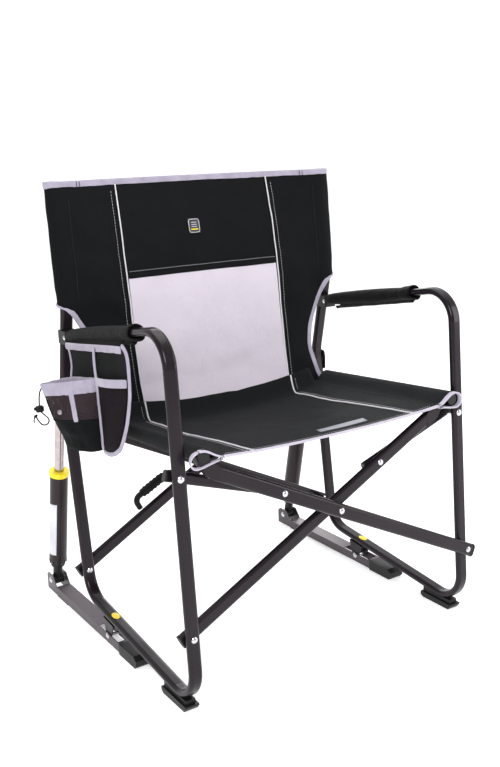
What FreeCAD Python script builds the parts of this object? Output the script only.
import FreeCAD, Part
import math, os

# Camp rocking chair. Millimetres, +Z up, the chair faces -Y, +X is its left-hand side seen from the front.
# Every hinge of the folding cross frame is parallel to one tilted axis, so that frame is drawn in
# (x, u, v): u runs along that axis, v square to it. place() turns (x, u, v) into (x, y, z).

V = FreeCAD.Vector
os.makedirs("parts", exist_ok=True)

# ---- driving dimensions ----
SHIFT = V(42.0, -4.0, 0.0)           # moves the finished chair so the origin is the bottom centre of its box
HALF = 338.0                         # side-frame centre plane, from the middle
TUBE_W, TUBE_T, WALL = 27.0, 15.0, 1.0   # side-frame flat-oval tube
POST_TOP = (171.0, 946.0)            # (y, z) corners of the one-piece side-frame tube
BACK_BEND = (150.0, 705.0)
SEAT_BEND = (192.0, 512.0)
REAR_FOOT = (131.6, 68.0)
FRONT_FOOT = (-326.0, 18.0)
ARM_CORNER = (-278.0, 715.0)
ARM_END = (147.0, 642.7)
TILT = math.radians(4.0)             # slope of the fold hinges and the seat rails
LOW_V, MID_V = 131.0, 298.0          # heights of the lower hinges and of the centre hinges
LINK_V, LINK_D = 432.0, 146.0        # leg hinge of a link; its tube hinge, from the centre hinge
RAIL_X, RAIL_V, RAIL_R = 300.0, 470.0, 12.0
RAIL_U0, RAIL_U1 = -349.0, 198.0
CROSS_W, CROSS_T = 28.0, 14.0        # cross-frame tube
LINK_W, LINK_T = 22.0, 12.0
PIN_R, RUN = 4.0, 0.06               # hinge pins and their running clearance
U_LEG, U_A, U_B, U_LINK_R = -327.0, -310.5, -343.5, -295.5    # layers at the front
U_REAR_A0, U_REAR_A1, U_REAR_STEP = 148.0, 170.0, 16.0        # layers at the back
ROCK = (22.0, 17.0)                  # (y, z) of the foot-bar hinge
CLEVIS = (330.0, 28.0)
ROD_TOP = (228.0, 486.0)
POST_BOLT = (188.5, 486.0)
FOOT_RIVET_Y = -237.0
BAR_Y0, BAR_Y1 = -100.0, 352.0
BAR_HALF, BAR_WALL, BAR_Z0, BAR_Z1, EAR_Z = 17.0, 1.6, 2.0, 22.0, 44.0
BARREL_R, BARREL_BORE, ROD_R, COLLAR_R, BARREL_TOP = 20.5, 19.0, 11.0, 22.5, 283.0
CLOTH = 1.2
CORD_R = 1.5

CT, ST = math.cos(TILT), math.sin(TILT)
CROSS_A = math.atan2(MID_V - LOW_V, HALF)
CA, SA = math.cos(CROSS_A), math.sin(CROSS_A)
CROSS_L = math.hypot(HALF, MID_V - LOW_V)
AXIS_U = V(0, CT, -ST)
done = []


def place(x, u, v):
    return V(x, u * CT + v * ST, -u * ST + v * CT)


def save(name, *shapes):
    solids = []
    for s in shapes:
        solids += s.Solids
    body = solids[0] if len(solids) == 1 else Part.makeCompound(solids)
    body.translate(SHIFT)
    body.exportStep("parts/%s.step" % name)
    done.append(name)
    print(name, len(solids), all(s.isValid() for s in solids), round(sum(s.Volume for s in solids)))


def flip(shape):
    return shape.mirror(V(0, 0, 0), V(1, 0, 0))


def unit(a):
    b = V(a)
    b.normalize()
    return b


def bent_path(pts, radii):
    edges, last = [], pts[0]
    for i in range(1, len(pts) - 1):
        a, b = unit(pts[i - 1] - pts[i]), unit(pts[i + 1] - pts[i])
        half = a.getAngle(b) / 2
        run = radii[i - 1] / math.tan(half)
        p, q = pts[i] + a * run, pts[i] + b * run
        mid = unit(a + b)
        m = pts[i] + mid * (radii[i - 1] / math.sin(half) - radii[i - 1])
        edges.append(Part.makeLine(last, p))
        edges.append(Part.Arc(p, m, q).toShape())
        last = q
    edges.append(Part.makeLine(last, pts[-1]))
    return Part.Wire(edges)


def oval(at, along, wide, w, t):
    thin = along.cross(wide)
    h, r = (w - t) / 2, t / 2
    p = [at + wide * a + thin * b for a, b in ((-h, r), (h, r), (h + r, 0), (h, -r), (-h, -r), (-h - r, 0))]
    return Part.Wire([Part.makeLine(p[0], p[1]), Part.Arc(p[1], p[2], p[3]).toShape(),
                      Part.makeLine(p[3], p[4]), Part.Arc(p[4], p[5], p[0]).toShape()])


def sweep(pts, radii, wide, w, t):
    ring = oval(pts[0], unit(pts[1] - pts[0]), wide, w, t)
    return Part.Solid(bent_path(pts, radii).makePipeShell([ring], True, False))


def tube(pts, radii, wide, w, t, wall):
    return sweep(pts, radii, wide, w, t).cut(sweep(pts, radii, wide, w - 2 * wall, t - 2 * wall))


def rod(a, b, r):
    return Part.makeCylinder(r, (b - a).Length, a, b - a)


def pin(a, b, r, head_r, head_h, tail_r=None):
    """A rivet from face a to face b with a domed head outside each."""
    d = unit(b - a)
    tail = head_r if tail_r is None else tail_r
    s = rod(a - d * 0.2, b + d * 0.2, r)
    for at, way, hr in ((a, d * -1, head_r), (b, d, tail)):
        if hr <= r:
            continue
        ball_r = (hr * hr + head_h * head_h) / (2 * head_h)
        ball = Part.makeSphere(ball_r, at + way * (head_h + 0.1 - ball_r))
        s = s.fuse(ball.common(rod(at + way * 0.1, at + way * (head_h + 1), hr + 1)))
    return s.removeSplitter()


def plate(pts, x0, x1):
    """A (y, z) outline pushed out along X."""
    w = Part.makePolygon([V(x0, y, z) for y, z in pts] + [V(x0, pts[0][0], pts[0][1])])
    return Part.Face(w).extrude(V(x1 - x0, 0, 0))


def cross_plate(pts, u0, u1):
    """An (x, v) outline pushed out along the hinge axis."""
    w = Part.makePolygon([place(x, u0, v) for x, v in pts] + [place(pts[0][0], u0, pts[0][1])])
    return Part.Face(w).extrude(AXIS_U * (u1 - u0))


def yz(p, x=HALF):
    return V(x, p[0], p[1])


def frame_line():
    return [yz(p) for p in (POST_TOP, BACK_BEND, SEAT_BEND, REAR_FOOT, FRONT_FOOT, ARM_CORNER, ARM_END)]


FRAME_R = [160.0, 110.0, 60.0, 60.0, 62.0]


def frame_solid(grow=0.0):
    return sweep(frame_line(), FRAME_R, V(1, 0, 0), TUBE_W + 2 * grow, TUBE_T + 2 * grow)


def runner_z(y, off=0.0):
    (y0, z0), (y1, z1) = FRONT_FOOT, REAR_FOOT
    k = (z1 - z0) / (y1 - y0)
    return z0 + (y - y0) * k + off * math.hypot(1, k)


def post_y(z):
    for (y0, z0), (y1, z1) in ((BACK_BEND, POST_TOP), (SEAT_BEND, BACK_BEND), (REAR_FOOT, SEAT_BEND)):
        if z0 <= z <= z1:
            return y0 + (y1 - y0) * (z - z0) / (z1 - z0)
    return POST_TOP[0]


def leg_u(v):
    """Hinge-axis position of the rear leg's centre line at height v."""
    for k in range(1200):
        z = 40 + k * 0.5
        if post_y(z) * ST + z * CT >= v:
            return post_y(z) * CT - z * ST
    return 150.0


# ---- hinge points of the cross frame, right-hand (+X) side ----
def leg_holes(r):
    """Cylinders that drill the four hinge holes of the +X frame."""
    cuts = [rod(place(HALF, U_LEG - 20, LOW_V), place(HALF, U_LEG + 20, LOW_V), r),
            rod(place(HALF, U_LEG - 20, LINK_V), place(HALF, U_LEG + 20, LINK_V), r),
            rod(place(HALF, leg_u(LOW_V) - 20, LOW_V), place(HALF, leg_u(LOW_V) + 20, LOW_V), r)]
    cuts.append(rod(V(HALF - 20, *POST_BOLT), V(HALF + 20, *POST_BOLT), r))
    return cuts


def side_frame():
    s = tube(frame_line(), FRAME_R, V(1, 0, 0), TUBE_W, TUBE_T, WALL)
    for c in leg_holes(PIN_R + RUN):
        s = s.cut(c)
    return s


def post_cap():
    top, low = yz(POST_TOP), yz(BACK_BEND)
    d = unit(top - low)
    wide = V(1, 0, 0)
    cap = sweep([top + d * 0.1, top + d * 4], [], wide, TUBE_W, TUBE_T)
    plug = sweep([top - d * 18, top + d * 0.1], [], wide, TUBE_W - 2 * WALL - 0.2, TUBE_T - 2 * WALL - 0.2)
    return cap.fuse(plug).removeSplitter()


def arm_socket():
    """Moulded block that plugs the arm tube and wraps the post."""
    zc = ARM_END[1]
    block = Part.makeBox(31, 39.5, 28, V(HALF - 15.5, 132, zc - 16))
    block = block.makeFillet(3, [e for e in block.Edges if abs(e.Vertexes[0].Point.y - e.Vertexes[1].Point.y) < 1])
    post = sweep([yz(p) for p in (POST_TOP, BACK_BEND, SEAT_BEND, REAR_FOOT)], FRAME_R[:2], V(1, 0, 0),
                 TUBE_W + 0.2, TUBE_T + 0.2)
    back = V(0, ARM_CORNER[0] - ARM_END[0], ARM_CORNER[1] - ARM_END[1])
    end = yz(ARM_END)
    arm = sweep([end - unit(back) * 0.1, end + unit(back) * 60], [], V(1, 0, 0), TUBE_W + 0.2, TUBE_T + 0.2)
    return block.cut(post).cut(arm)


def arm_socket_bolt():
    zc = ARM_END[1]
    y = 139.0
    return pin(V(HALF - 15.5, y, zc - 1), V(HALF + 15.5, y, zc - 1), 2.5, 4.6, 2.0)


def arm_hole():
    return rod(V(HALF - 20, 139, ARM_END[1] - 1), V(HALF + 20, 139, ARM_END[1] - 1), 2.56)


def arm_pad():
    """Padded sleeve round the arm tube, with its closing flap on the underside."""
    a, b = yz(ARM_CORNER), yz(ARM_END)
    d = unit(b - a)
    up = V(0, -d.z, d.y)
    p, q = a + d * 128, b - d * 18
    body = sweep([p + up * -2, q + up * -2], [], V(1, 0, 0), 40, 30)
    flap = sweep([p + d * 4 + up * -18.2, q - d * 40 + up * -18.2], [], V(1, 0, 0), 22, 3)
    hole = sweep([p - d * 5, q + d * 5], [], V(1, 0, 0), TUBE_W + 0.3, TUBE_T + 0.3)
    return body.cut(hole).fuse(flap)


def front_foot():
    """Moulded foot under the front bend."""
    s = plate([(-304, 8), (-298, 0), (-218, 0), (-211, 5), (-211, 12.5), (-304, 11.5)], HALF - 15, HALF + 15)
    s = s.fuse(plate([(-298, 4), (-215, 4), (-215, 24), (-298, 20)], HALF - 10.5, HALF + 10.5)).removeSplitter()
    cut = frame_solid(0.1)
    s = s.cut(cut)
    s = s.cut(plate([(-330, 34), (-150, 48), (-150, 120), (-330, 120)], HALF - 30, HALF + 30))
    parts = sorted(s.Solids, key=lambda q: -q.Volume)
    return parts[0]


def foot_point(off):
    """Point on the foot rivet's line, off = distance from the runner's centre line."""
    slope = (REAR_FOOT[1] - FRONT_FOOT[1]) / (REAR_FOOT[0] - FRONT_FOOT[0])
    return V(HALF, FOOT_RIVET_Y, runner_z(FOOT_RIVET_Y)) + unit(V(0, -slope, 1)) * off


def foot_rivet():
    """Rivet from a pocket in the foot's sole up through the tube's lower wall."""
    return pin(foot_point(-18), foot_point(WALL - TUBE_T / 2), 2.5, 5.0, 2.4)


def foot_hole():
    return rod(foot_point(-40), foot_point(-18), 5.8).fuse(rod(foot_point(-19), foot_point(-5), 2.56))


def foot_bar():
    """Pressed channel that lies on the floor, with two ears turned up at its rear end."""
    wall = [(BAR_Y0, BAR_Z0), (BAR_Y1, BAR_Z0), (BAR_Y1, 36), (BAR_Y1 - 9, EAR_Z), (BAR_Y1 - 36, EAR_Z),
            (BAR_Y1 - 54, BAR_Z1), (BAR_Y0, BAR_Z1)]
    s = plate(wall, HALF - BAR_HALF, HALF - BAR_HALF + BAR_WALL)
    s = s.fuse(plate(wall, HALF + BAR_HALF - BAR_WALL, HALF + BAR_HALF))
    top = Part.makeBox(2 * BAR_HALF, BAR_Y1 - 54 - BAR_Y0, BAR_WALL, V(HALF - BAR_HALF, BAR_Y0, BAR_Z1 - BAR_WALL))
    top = top.cut(Part.makeBox(29.6, 92, 10, V(HALF - 14.8, -24, BAR_Z1 - 5)))
    s = s.fuse(top).removeSplitter()
    for y, z in (ROCK, CLEVIS):
        s = s.cut(rod(V(HALF - 30, y, z), V(HALF + 30, y, z), PIN_R + RUN + (1 if y > 100 else 0)))
    return s


def bar_shoe():
    """Plastic shoe over the front end of the foot bar."""
    s = plate([(-112, 6), (-106, 0), (-35, 0), (-35, 24), (-100, 24), (-112, 17)], HALF - 19, HALF + 19)
    bar = Part.makeBox(2 * BAR_HALF + 0.2, 80, BAR_Z1 - BAR_Z0 + 0.2, V(HALF - BAR_HALF - 0.1, BAR_Y0 - 0.1, BAR_Z0 - 0.1))
    core = Part.makeBox(29.6, 60, 15, V(HALF - 14.8, BAR_Y0 - 0.5, BAR_Z0 - 0.5))
    return s.cut(bar).fuse(core).removeSplitter()


def bar_pad():
    """Floor pad clipped into the rear of the channel."""
    s = Part.makeBox(2 * BAR_HALF, 60, 1.9, V(HALF - BAR_HALF, 235, 0))
    return s.fuse(Part.makeBox(29.6, 40, 6, V(HALF - 14.8, 245, 1.5))).removeSplitter()


def rock_bracket():
    """U bracket under the runner; its two ears hang into the channel."""
    y0, y1 = 0.0, 46.0
    u0, u1 = runner_z(y0, -TUBE_T / 2 - 0.1), runner_z(y1, -TUBE_T / 2 - 0.1)
    ear = [(y0, u0 - 2.5), (y0 + 8, 26), (ROCK[0] - 8, 10), (ROCK[0] - 3, 7), (ROCK[0] + 3, 7), (ROCK[0] + 8, 10),
           (y1 - 8, 26), (y1, u1 - 2.5)]
    s = plate(ear, HALF - 14, HALF - 11.5).fuse(plate(ear, HALF + 11.5, HALF + 14))
    s = s.fuse(plate([(y0, u0 - 2.5), (y0, u0), (y1, u1), (y1, u1 - 2.5)], HALF - 14, HALF + 14)).removeSplitter()
    return s.cut(rod(V(HALF - 30, *ROCK), V(HALF + 30, *ROCK), PIN_R + RUN))


def rock_pin():
    return pin(V(HALF - BAR_HALF, *ROCK), V(HALF + BAR_HALF, *ROCK), PIN_R, 6.3, 2.8)


def clevis_pin():
    return pin(V(HALF - BAR_HALF, *CLEVIS), V(HALF + BAR_HALF, *CLEVIS), PIN_R + 1, 7.2, 3.0)


def damper_at(s):
    a, b = V(HALF, *CLEVIS), V(HALF, *ROD_TOP)
    return a + unit(b - a) * s


def damper_barrel():
    s = rod(damper_at(62), damper_at(BARREL_TOP), BARREL_R)
    s = s.cut(rod(damper_at(70), damper_at(BARREL_TOP + 1), BARREL_BORE))
    s = s.fuse(rod(damper_at(54), damper_at(70.1), BARREL_R - 1.2))
    for k in range(12):
        a = k * math.pi / 6
        out = V(math.cos(a), 0, 0) + unit(damper_at(1) - damper_at(0)).cross(V(1, 0, 0)) * math.sin(a)
        s = s.fuse(rod(damper_at(50) + out * 18.6, damper_at(66) + out * 18.6, 2.2))
    return s.removeSplitter()


def damper_knuckle():
    neck = rod(damper_at(8), damper_at(53.9), 11.0)
    flange = rod(damper_at(40), damper_at(53.9), 16.0)
    eye = Part.makeCylinder(12.0, 24, V(HALF - 12, *CLEVIS), V(1, 0, 0))
    s = eye.fuse(neck).fuse(flange).removeSplitter()
    return s.cut(rod(V(HALF - 30, *CLEVIS), V(HALF + 30, *CLEVIS), PIN_R + 1 + RUN))


def damper_collar():
    s = rod(damper_at(BARREL_TOP + 0.1), damper_at(BARREL_TOP + 13), COLLAR_R)
    s = s.cut(rod(damper_at(BARREL_TOP), damper_at(BARREL_TOP + 14), ROD_R + RUN))
    return s.makeChamfer(1.5, [e for e in s.Edges if e.Curve.TypeId == "Part::GeomCircle" and e.Curve.Radius > 20])


def piston_rod():
    top = (V(HALF, *ROD_TOP) - V(HALF, *CLEVIS)).Length
    s = rod(damper_at(188), damper_at(top - 16), ROD_R).cut(rod(damper_at(187), damper_at(top - 30), ROD_R - 2))
    s = s.fuse(rod(damper_at(180), damper_at(188.1), BARREL_BORE - 0.4))
    neck = rod(damper_at(top - 17), damper_at(top - 8), 8.0)
    eye = Part.makeCylinder(13.0, 22, V(HALF - 11, *ROD_TOP), V(1, 0, 0))
    s = s.fuse(neck).fuse(eye).removeSplitter()
    return s.cut(rod(V(HALF - 30, *ROD_TOP), V(HALF + 30, *ROD_TOP), 6.2))


def damper_spring():
    wire_r, mean_r, length, turns = 2.0, 14.5, 108.0, 8
    helix = Part.makeHelix(length / turns - 0.2, length - 4.5, mean_r)
    ring = Part.Wire([Part.makeCircle(wire_r, V(mean_r, 0, 0), V(0, 1, 0.13))])
    s = Part.Solid(Part.Wire(helix.Edges).makePipeShell([ring], True, True))
    d = unit(damper_at(1) - damper_at(0))
    s.rotate(V(0, 0, 0), V(1, 0, 0), math.degrees(math.atan2(-d.y, d.z)))
    s.translate(damper_at(73.5))
    return s


def rod_bracket():
    """Two cheeks bolted through the post that carry the rod's top pin behind it."""
    (by, bz), (ry, rz) = POST_BOLT, ROD_TOP
    out = [(by - 12, bz - 22), (by - 2, bz - 26), (ry + 8, rz - 12), (ry + 14, rz - 2), (ry + 12, rz + 9),
           (ry + 2, rz + 14), (by + 4, bz + 24), (by - 8, bz + 22), (by - 12, bz + 10)]
    s = plate(out, HALF - 17, HALF - 14).fuse(plate(out, HALF + 14, HALF + 17))
    for y, z, r in ((by, bz, PIN_R + RUN), (ry, rz, 5 + RUN)):
        s = s.cut(rod(V(HALF - 30, y, z), V(HALF + 30, y, z), r))
    return s


def post_bolt():
    s = pin(V(HALF - 17, *POST_BOLT), V(HALF + 17, *POST_BOLT), PIN_R, 6.6, 3.6)
    for a, b in ((-19.2, -17.1), (17.1, 19.2)):
        s = s.fuse(rod(V(HALF + a, *POST_BOLT), V(HALF + b, *POST_BOLT), 9.8))
    return s.removeSplitter()


def rod_pin():
    return pin(V(HALF - 17, *ROD_TOP), V(HALF + 17, *ROD_TOP), 5.0, 8.5, 3.2)


# ---- cross frame ----
def cross_point(side, s, u):
    """Point at distance s from the lower hinge of the tube that starts on that side."""
    return place(side * (HALF - s * CA), u, LOW_V + s * SA)


def cross_tube(side, line, link_s, solid=False, grow=0.0):
    wide = unit((cross_point(side, 10, 0) - cross_point(side, 0, 0)).cross(AXIS_U))
    pts = [cross_point(side, s, u) for s, u in line]
    radii = [200.0] * (len(pts) - 2)
    full = sweep(pts, radii, wide, CROSS_W + 2 * grow, CROSS_T + 2 * grow)
    if solid:
        return full
    s = full.cut(sweep(pts, radii, wide, CROSS_W - 2 * WALL, CROSS_T - 2 * WALL))
    for q in (0.0, CROSS_L, link_s):
        if q is not None:
            s = s.cut(rod(cross_point(side, q, -400), cross_point(side, q, 260), PIN_R + RUN))
    return s


END_S = CROSS_L + (285.0 / CA)
TUBE_END = 14.0                      # a cross tube's lower end, past its hinge
FRONT_A = [(-TUBE_END, U_A), (END_S, U_A)]
FRONT_B = [(-TUBE_END, U_B), (END_S, U_B)]
REAR_A = [(-TUBE_END, U_REAR_A0 + (28.0 - TUBE_END) / (CROSS_L + 28.0) * (U_REAR_A1 - U_REAR_A0)),
          (CROSS_L, U_REAR_A1), (END_S, U_REAR_A1)]
REAR_B = [(s, u + U_REAR_STEP) for s, u in REAR_A]


def tube_cap(side, line):
    """Push-in cap at a tube's lower end."""
    (s0, u0), (s1, u1) = line[0], line[1]
    a, b = cross_point(side, s0, u0), cross_point(side, s1, u1)
    d = unit(a - b)
    wide = unit((cross_point(side, 10, 0) - cross_point(side, 0, 0)).cross(AXIS_U))
    cap = sweep([a + d * 0.1, a + d * 4], [], wide, CROSS_W + 1, CROSS_T + 1)
    plug = sweep([a - d * 8, a + d * 0.2], [], wide, CROSS_W - 2 * WALL - 0.2, CROSS_T - 2 * WALL - 0.2)
    return cap.fuse(plug).removeSplitter()


def seat_rail(side):
    a, b = place(side * RAIL_X, RAIL_U0, RAIL_V), place(side * RAIL_X, RAIL_U1, RAIL_V)
    return rod(a, b, RAIL_R).cut(rod(a, b, RAIL_R - WALL))


def rail_plugs(side):
    out = []
    for u, way in ((RAIL_U0, -1), (RAIL_U1, 1)):
        a = place(side * RAIL_X, u, RAIL_V)
        d = AXIS_U * way
        out.append(rod(a + d * 0.1, a + d * 4, RAIL_R).fuse(rod(a - d * 14, a + d * 0.2, RAIL_R - WALL - 0.1)))
    return out


def rail_saddle(side, line):
    """Moulded block that carries a tube's upper end under the rail it holds."""
    u = line[-1][1]
    far = -side
    pts = [(262, 413), (290, 426), (313, 460), (313.5, 470), (287, 470), (285.8, 456), (262, 440)]
    s = cross_plate([(far * x, v) for x, v in pts], u - 7.4, u + 7.4)
    s = s.cut(rod(place(far * RAIL_X, u - 20, RAIL_V), place(far * RAIL_X, u + 20, RAIL_V), RAIL_R + 0.1))
    s = s.cut(cross_tube(side, line, None, solid=True, grow=0.1))
    return sorted(s.Solids, key=lambda q: -q.Volume)[0]


def hinge_rivet(side, s, u0, u1, mid=None, heads=(6.4, 6.4)):
    """Rivet through a tube at s from face u0 to face u1; mid = a wider shoulder between two faces."""
    a, b = cross_point(side, s, u0), cross_point(side, s, u1)
    out = pin(a, b, PIN_R, heads[0], 2.9, heads[1])
    if mid:
        out = out.fuse(rod(cross_point(side, s, mid[0]), cross_point(side, s, mid[1]), 8.0))
    return out.removeSplitter()


H = CROSS_T / 2


def lower_rivets(side):
    """The lower hinge rivets: front and rear, on the frame of that side."""
    leg0, leg1 = U_LEG - TUBE_T / 2, U_LEG + TUBE_T / 2
    back = leg_u(LOW_V)
    slope = 0.8
    low = U_REAR_A0 + 28.0 / (CROSS_L + 28.0) * (U_REAR_A1 - U_REAR_A0)
    if side < 0:
        front = hinge_rivet(-1, 0, leg0, U_A + H, (leg1 + 0.6, U_A - H - 0.1))
        rear = hinge_rivet(-1, 0, back - TUBE_T / 2 - slope, low + H + 0.6,
                           (back + TUBE_T / 2 + slope, low - H - 0.7))
    else:
        front = hinge_rivet(1, 0, U_B - H, leg1 + 0.5, (U_B + H + 0.1, leg0 - 0.1))
        ub = low + U_REAR_STEP
        rear = hinge_rivet(1, 0, back - TUBE_T / 2 - slope, ub + H + 0.6, (back + TUBE_T / 2 + slope, ub - H - 0.7))
    return [front, rear]


def centre_rivets():
    front = hinge_rivet(1, CROSS_L, U_B - H, U_A + H, (U_B + H + 0.1, U_A - H - 0.1))
    rear = hinge_rivet(1, CROSS_L, U_REAR_A1 - H - 0.6, U_REAR_A1 + U_REAR_STEP + H + 0.1,
                       (U_REAR_A1 + H + 0.3, U_REAR_A1 + U_REAR_STEP - H - 0.7))
    return [front, rear]


LINK_S = CROSS_L + LINK_D


def link_points(side):
    """Leg hinge and tube hinge (x, v) of the link that hangs on that side's leg."""
    return (side * HALF, LINK_V), (side * LINK_D * CA, MID_V + LINK_D * SA)


def front_link(side):
    (x0, v0), (x1, v1) = link_points(side)
    u = U_A if side < 0 else U_LINK_R
    d = unit(V(x1 - x0, 0, v1 - v0))
    ends = [place(x0 - d.x * 18, u, v0 - d.z * 18), place(x1 + d.x * 26, u, v1 + d.z * 26)]
    wide = unit((ends[1] - ends[0]).cross(AXIS_U))
    s = sweep(ends, [], wide, LINK_W, LINK_T).cut(sweep(ends, [], wide, LINK_W - 2 * WALL, LINK_T - 2 * WALL))
    for x, v in ((x0, v0), (x1, v1)):
        s = s.cut(rod(place(x, u - 30, v), place(x, u + 30, v), PIN_R + RUN))
    return s


def link_caps(side):
    (x0, v0), (x1, v1) = link_points(side)
    u = U_A if side < 0 else U_LINK_R
    d = unit(V(x1 - x0, 0, v1 - v0))
    out = []
    for x, v, k, w in ((x0, v0, -18, -1), (x1, v1, 26, 1)):
        p = [place(x + d.x * (k + w * q), u, v + d.z * (k + w * q)) for q in (-9, 0.1, 4)]
        wide = unit((p[2] - p[0]).cross(AXIS_U))
        plug = sweep([p[0], p[1]], [], wide, LINK_W - 2 * WALL - 0.2, LINK_T - 2 * WALL - 0.2)
        out.append(plug.fuse(sweep([p[1], p[2]], [], wide, LINK_W, LINK_T)).removeSplitter())
    return out


def link_leg_rivet(side):
    leg0, leg1 = U_LEG - TUBE_T / 2, U_LEG + TUBE_T / 2
    u = U_A if side < 0 else U_LINK_R
    h = LINK_T / 2
    a, b = place(side * HALF, leg0, LINK_V), place(side * HALF, u + h, LINK_V)
    s = pin(a, b, PIN_R, 7.0, 3.2, 6.4)
    return s.fuse(rod(place(side * HALF, leg1 + 0.1, LINK_V), place(side * HALF, u - h - 0.1, LINK_V), 8.0)).removeSplitter()


def link_tube_rivet(side):
    """The tube's half of the link's inner hinge: head, shank and spacer."""
    (x, v) = link_points(side)[1]
    tube_u = U_B if side < 0 else U_A
    face = (U_A if side < 0 else U_LINK_R) - LINK_T / 2
    a, b = place(x, tube_u - H, v), place(x, tube_u + H, v)
    s = pin(a, b, PIN_R, 6.4, 2.9, 0)
    return s.fuse(rod(place(x, tube_u + H + 0.1, v), place(x, face - 0.3, v), 7.0)).removeSplitter()


def link_end_rivet(side):
    """The link's half of the same hinge."""
    (x, v) = link_points(side)[1]
    u = U_A if side < 0 else U_LINK_R
    h = LINK_T / 2
    return pin(place(x, u - h, v), place(x, u + h, v), PIN_R, 0, 2.9, 6.4)


def carry_handle():
    """Moulded handle with a ribbed grip on the rear tube."""
    def at(s, off, u):
        return place(-(HALF - s * CA) - off * SA, u, LOW_V + s * SA + off * CA)
    u = U_REAR_A1 - 1.5
    s0, s1 = 182.0, 292.0
    pts = [at(s0, 15.5, u), at(s0, 42, u), at(s1, 42, u), at(s1, 15.5, u)]
    wide = AXIS_U
    body = sweep(pts, [14.0, 14.0], wide, 16, 12)
    grip = sweep([at(s0 + 22, 42, u), at(s1 - 22, 42, u)], [], wide, 22, 18)
    for k in range(5):
        q = s0 + 34 + k * 10.5
        grip = grip.fuse(sweep([at(q - 2, 42, u), at(q + 2, 42, u)], [], wide, 24.5, 20.5))
    return body.fuse(grip).removeSplitter()


# ---- cloth ----
def blend(table, t):
    for (t0, a), (t1, b) in zip(table, table[1:]):
        if t <= t1:
            k = max(0.0, (t - t0) / (t1 - t0))
            k = k * k * (3 - 2 * k) if abs(b - a) > 12 else k
            return a + (b - a) * k
    return table[-1][1]


def rail_z(y):
    u = (y - RAIL_V * ST) / CT
    return -u * ST + RAIL_V * CT


SEAT_EDGE = RAIL_X - 15.5
BACK_MID = [(440, 101), (520, 121), (600, 132), (750, 153), (850, 176), (945, 201)]
BACK_WIDE = [(440, 282), (500, 282), (560, 283), (640, 300), (690, 316), (715, 321.5), (950, 321.5)]


def seat_point(f, y):
    sag = blend([(-320, 8), (-208, 14), (-148, 20), (-49, 27), (24, 24), (100, 26)], y)
    x = SEAT_EDGE * f
    return V(x, y, rail_z(y) - 8 - sag * (1 - abs(f) ** 2.4))


def back_point(f, z):
    mid = blend(BACK_MID, z)
    k = min(1.0, max(0.0, (z - 640) / 65.0))
    edge = (mid + 3) * (1 - k) + post_y(max(z, 705)) * k
    x = blend(BACK_WIDE, z) * f
    return V(x, mid + (edge - mid) * abs(f) ** 3, z)


def cloth(point, rows, f0, f1, cols, push, thick):
    """A closed cloth skin over a grid: its face, the same face pushed back, and the four edges."""
    def grid(d):
        return [[point(f0 + (f1 - f0) * i / cols, t) + d for i in range(cols + 1)] for t in rows]
    faces = []
    surf = []
    for d in (push, push + thick):
        b = Part.BSplineSurface()
        b.interpolate(grid(d))
        surf.append(b)
        faces.append(b.toShape())
    for pair in (("u", 0), ("u", 1), ("v", 0), ("v", 1)):
        curves = []
        for b in surf:
            lo, hi, vlo, vhi = b.bounds()
            c = b.uIso(lo if pair[1] == 0 else hi) if pair[0] == "u" else b.vIso(vlo if pair[1] == 0 else vhi)
            curves.append(c.toShape())
        faces.append(Part.makeRuledSurface(curves[0], curves[1]))
    shell = Part.Shell(faces)
    shell.sewShape()
    s = Part.Solid(shell)
    if s.Volume < 0:
        s.reverse()
    return s


def spread(a, b, n):
    return [a + (b - a) * i / n for i in range(n + 1)]


def seat_cloth():
    return cloth(seat_point, spread(-325, 94, 9), -1, 1, 12, V(0, 0, 0), V(0, 0, -CLOTH))


def seat_sleeve(side):
    """Hanging hem with the rail inside it."""
    a, b = place(side * RAIL_X, RAIL_U0 - 9, RAIL_V - 5), place(side * RAIL_X, 92, RAIL_V - 5)
    up = unit(place(0, 0, 1))
    s = sweep([a, b], [], up, 38, 28).cut(sweep([a, b], [], up, 38 - 2 * CLOTH, 28 - 2 * CLOTH))
    for line in ((FRONT_B, REAR_B) if side < 0 else (FRONT_A, REAR_A)):
        u = line[-1][1]
        slot = cross_plate([(side * x, v) for x, v in ((270, 430), (325, 430), (325, 474), (270, 474))], u - 9, u + 9)
        s = s.cut(slot)
    return s


def back_cloth():
    return cloth(back_point, spread(451, 952, 12), -1, 1, 12, V(0, 0, 0), V(0, CLOTH, 0))


def back_sleeve(side):
    a, b = V(side * (HALF + 2), *BACK_BEND), V(side * (HALF + 2), *POST_TOP)
    d = unit(b - a)
    a, b = a + d * 22, b + d * 11
    x = V(1, 0, 0)
    return sweep([a, b], [], x, 35, 20).cut(sweep([a, b], [], x, 35 - 2 * CLOTH, 20 - 2 * CLOTH))


def pale_panel():
    def at(f, z):
        k = 190.0 / blend(BACK_WIDE, z)
        return back_point(f * k, z)
    return cloth(at, spread(462, 748, 8), -1, 1, 8, V(0, -CLOTH - 1.9, 0), V(0, CLOTH, 0))


# ---- organiser hung on the -X arm ----
POCKET_X = -HALF - 25.0
POCKET = [(113, 637), (36, 647), (-36, 656), (-103, 664.5), (-153, 671), (-167, 671), (-176, 661), (-181, 631),
          (-180, 605), (-174, 572), (-151, 523), (-124, 478), (-103, 462), (-71, 449), (-43, 446.5), (-20, 450),
          (60, 452), (80, 520), (90, 571), (86, 591), (90, 618), (98, 630)]
NET = [(-170, 597), (-38, 576), (-44, 510), (-48, 458), (-70, 453), (-104, 467), (-125, 483), (-149, 526)]
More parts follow.
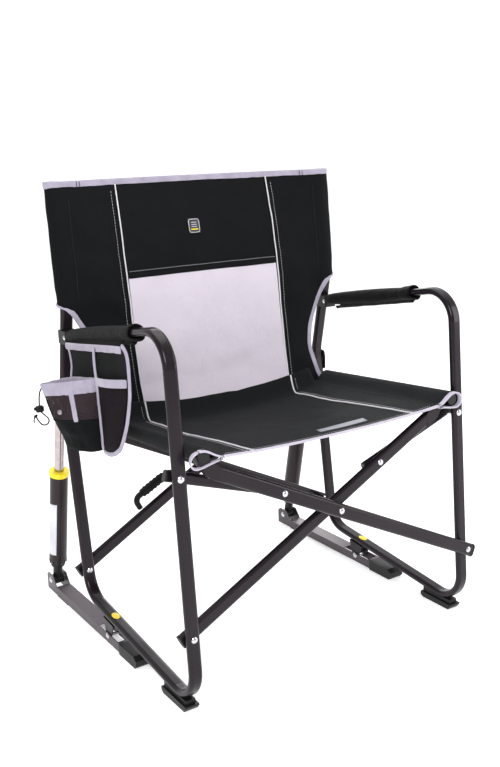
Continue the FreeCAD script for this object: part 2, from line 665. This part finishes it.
# the bag hangs as a soft three-sided cup: its gathered mouth and its foot in plan, and the mouth's slope
CUP_MOUTH = [(-364.1, -30), (-364.1, 10), (-364.1, 45), (-365.5, 72), (-376, 77), (-398, 74), (-421, 64), (-437, 52),
             (-441.5, 41), (-433, 26), (-412, 4), (-385, -18)]
CUP_FOOT = [(-364.1, -42), (-364.1, -15), (-364.1, 10), (-365.5, 38), (-373, 43), (-385, 44), (-397, 40), (-406, 31),
            (-410, 17), (-408, -1), (-400, -22), (-384, -40)]
CUP_PLANE = [V(-363, -31, 590), V(-445, 42, 577), V(-363, 78, 573)]
CUP_LOW, CUP_SKIN = 446.0, 1.8
CORD_X = POCKET_X - 53.0


def pocket_panel():
    s = plate(POCKET, POCKET_X, POCKET_X + 3)
    loop = plate([(104, 636.5), (-146, 668.5), (-146, 681), (104, 646)], POCKET_X, POCKET_X + 3)
    return s.fuse(loop).removeSplitter()


def net_pocket():
    cy, cz = -92.0, 525.0
    inner = [(cy + (y - cy) * 0.965, cz + (z - cz) * 0.965 + (9 if z > 550 else 0)) for y, z in NET]
    s = plate(NET, POCKET_X - 14, POCKET_X - 0.1)
    return s.cut(plate(inner, POCKET_X - 12.4, POCKET_X))


def inset(pts, d):
    """The same closed outline with each side moved inward by d."""
    out = []
    n = len(pts)
    for i in range(n):
        (x0, y0), (x1, y1), (x2, y2) = pts[i - 1], pts[i], pts[(i + 1) % n]
        a, b = unit(V(x1 - x0, y1 - y0, 0)), unit(V(x2 - x1, y2 - y1, 0))
        na, nb = V(-a.y, a.x, 0), V(-b.y, b.x, 0)
        m = unit(na + nb)
        k = d / max(0.5, m.dot(na))
        out.append((x1 + m.x * k, y1 + m.y * k))
    return out


def cup_bag(d, floor, top=596.0):
    """Solid bag between the foot and the mouth outlines, moved inward by d."""
    k = (top - CUP_LOW) / (580.0 - CUP_LOW)
    rings = []
    for t, z in ((0.0, CUP_LOW + floor), (k, top)):
        line = [(x0 + (x1 - x0) * t, y0 + (y1 - y0) * t) for (x0, y0), (x1, y1) in zip(CUP_FOOT, CUP_MOUTH)]
        pts = [V(x, y, z) for x, y in inset(line, d)]
        rings.append(Part.makePolygon(pts + pts[:1]))
    return Part.makeLoft(rings, True, True)


def above_mouth(drop):
    """Everything over the sloping mouth, lowered by drop."""
    a, b, c = CUP_PLANE
    n = (b - a).cross(c - a)
    n = unit(n) * (1 if n.z > 0 else -1)
    mid = (a + b + c) * (1 / 3.0) - n * drop
    slab = Part.makeBox(300, 300, 60, V(-150, -150, 0))
    slab.Placement = FreeCAD.Placement(mid, FreeCAD.Rotation(V(0, 0, 1), n))
    return slab


def cup_holder():
    turn = -1 if way_round(CUP_FOOT) < 0 else 1
    hollow = cup_bag(turn * CUP_SKIN, CUP_SKIN, 600.0)
    s = cup_bag(0, 0).cut(hollow).cut(above_mouth(0))
    band = cup_bag(-turn * 0.9, 0).cut(hollow).cut(above_mouth(0)).common(above_mouth(4.5))
    root, mouth = cord_exit()
    return s.fuse(band).fuse(rod(root, mouth, 2.6)).removeSplitter()


def way_round(pts):
    return sum(x0 * y1 - x1 * y0 for (x0, y0), (x1, y1) in zip(pts, pts[1:] + pts[:1]))


def cord_points():
    """The drawcord's route: out of the rim's eyelet, down through its lock, round a loop, up to its knot."""
    eye, low = cord_exit(), V(CORD_X - 33.5, 55.5, 520.5)
    out = [eye[1], eye[1] + unit(eye[1] - eye[0]) * 11, V(CORD_X - 33.2, 55.0, 548), V(CORD_X - 33.6, 55.6, 535), low]
    for a, h in ((9.5, -9.5), (17.5, -18.5), (13, -28.5), (3.5, -29.5), (-3.5, -21.5), (-7.5, -12.5)):
        out.append(low + V(0.93 * a, -0.37 * a, h))
    return out


def cord_exit():
    """Eyelet on the gathered rim: its root on the rim's centre line and its mouth."""
    root = V(CORD_X - 25.7, 41.8, 576)
    return root, root + unit(V(-0.35, 0.57, -0.75)) * 6


def arc_path(p):
    """Straight runs joined by the largest tangent arcs that they allow."""
    radii = []
    for a, b, c in zip(p, p[1:], p[2:]):
        turn = (b - a).getAngle(c - b)
        radii.append(0.45 * min((b - a).Length, (c - b).Length) / math.tan(turn / 2))
    return bent_path(p, radii)


def drawcord():
    p = cord_points()
    ring = Part.Wire([Part.makeCircle(CORD_R, p[0], unit(p[1] - p[0]))])
    return Part.Solid(arc_path(p).makePipeShell([ring], True, True))


def cord_lock():
    """Spring toggle: a bored body with its push button."""
    e = cord_points()[4] + V(0, 0, 4.5)
    s = Part.makeBox(17, 10, 13, e + V(-8.5, -5, 0))
    s = s.makeFillet(3, s.Edges)
    s = s.cut(rod(e + V(0, 0, -1), e + V(0, 0, 15), CORD_R + 0.5))
    return s.fuse(rod(e + V(-8, 0, 6.5), e + V(-11.5, 0, 6.5), 4.0)).removeSplitter()


def cord_knot():
    """Overhand knot with its two short tails."""
    p = cord_points()
    end, d = p[-1], unit(p[-1] - p[-2])
    c = end + d * 3.6
    tail = c + V(-3.4, 1.4, -13.5)
    return Part.makeSphere(4.4, c).fuse(rod(c, tail, CORD_R - 0.1)).cut(drawcord()).removeSplitter()


def both(name, make):
    shapes = make()
    shapes = shapes if isinstance(shapes, list) else [shapes]
    save(name + "_right", *[s.copy() for s in shapes])
    save(name + "_left", *[flip(s) for s in shapes])


def main():
    frame = side_frame().cut(arm_hole()).cut(foot_hole())
    both("side_frame", lambda: frame)
    both("post_cap", post_cap)
    both("arm_socket", lambda: arm_socket().cut(arm_hole()))
    both("arm_pad", arm_pad)
    both("front_foot", lambda: front_foot().cut(foot_hole()))
    both("foot_bar", foot_bar)
    both("bar_shoe", bar_shoe)
    both("bar_pad", bar_pad)
    both("rock_bracket", rock_bracket)
    both("bar_pins", lambda: [rock_pin(), clevis_pin()])
    both("damper_barrel", damper_barrel)
    both("damper_knuckle", damper_knuckle)
    both("damper_collar", damper_collar)
    both("damper_spring", damper_spring)
    both("piston_rod", piston_rod)
    both("rod_bracket", rod_bracket)
    both("frame_bolts", lambda: [post_bolt(), rod_pin(), arm_socket_bolt(), foot_rivet()])
    save("tubes_a", cross_tube(-1, FRONT_A, LINK_S), cross_tube(-1, REAR_A, None))
    save("tubes_b", cross_tube(1, FRONT_B, LINK_S), cross_tube(1, REAR_B, None))
    save("plugs_a", tube_cap(-1, FRONT_A), tube_cap(-1, REAR_A), *rail_plugs(1))
    save("plugs_b", tube_cap(1, FRONT_B), tube_cap(1, REAR_B), *rail_plugs(-1))
    save("seat_rail_right", seat_rail(1))
    save("seat_rail_left", seat_rail(-1))
    save("saddles_a", rail_saddle(-1, FRONT_A), rail_saddle(-1, REAR_A))
    save("saddles_b", rail_saddle(1, FRONT_B), rail_saddle(1, REAR_B))
    save("carry_handle", carry_handle())
    save("hinge_rivets_left", *(lower_rivets(-1) + [link_leg_rivet(-1)]))
    save("hinge_rivets_right", *(lower_rivets(1) + [link_leg_rivet(1)]))
    save("centre_rivets", *centre_rivets(), link_tube_rivet(1))
    save("tube_rivet_b", link_tube_rivet(-1))
    for name, side in (("left", -1), ("right", 1)):
        save("link_" + name, front_link(side))
        save("link_ends_" + name, *(link_caps(side) + [link_end_rivet(side)]))
    save("seat_fabric", seat_cloth(), seat_sleeve(-1), seat_sleeve(1))
    save("back_fabric", back_cloth(), back_sleeve(-1), back_sleeve(1))
    save("back_panel", pale_panel())
    save("pocket_panel", pocket_panel())
    save("net_pocket", net_pocket())
    save("cup_holder", cup_holder())
    save("drawcord", drawcord())
    save("cord_lock", cord_lock())
    save("cord_knot", cord_knot())


main()
print(len(done), "nodes")
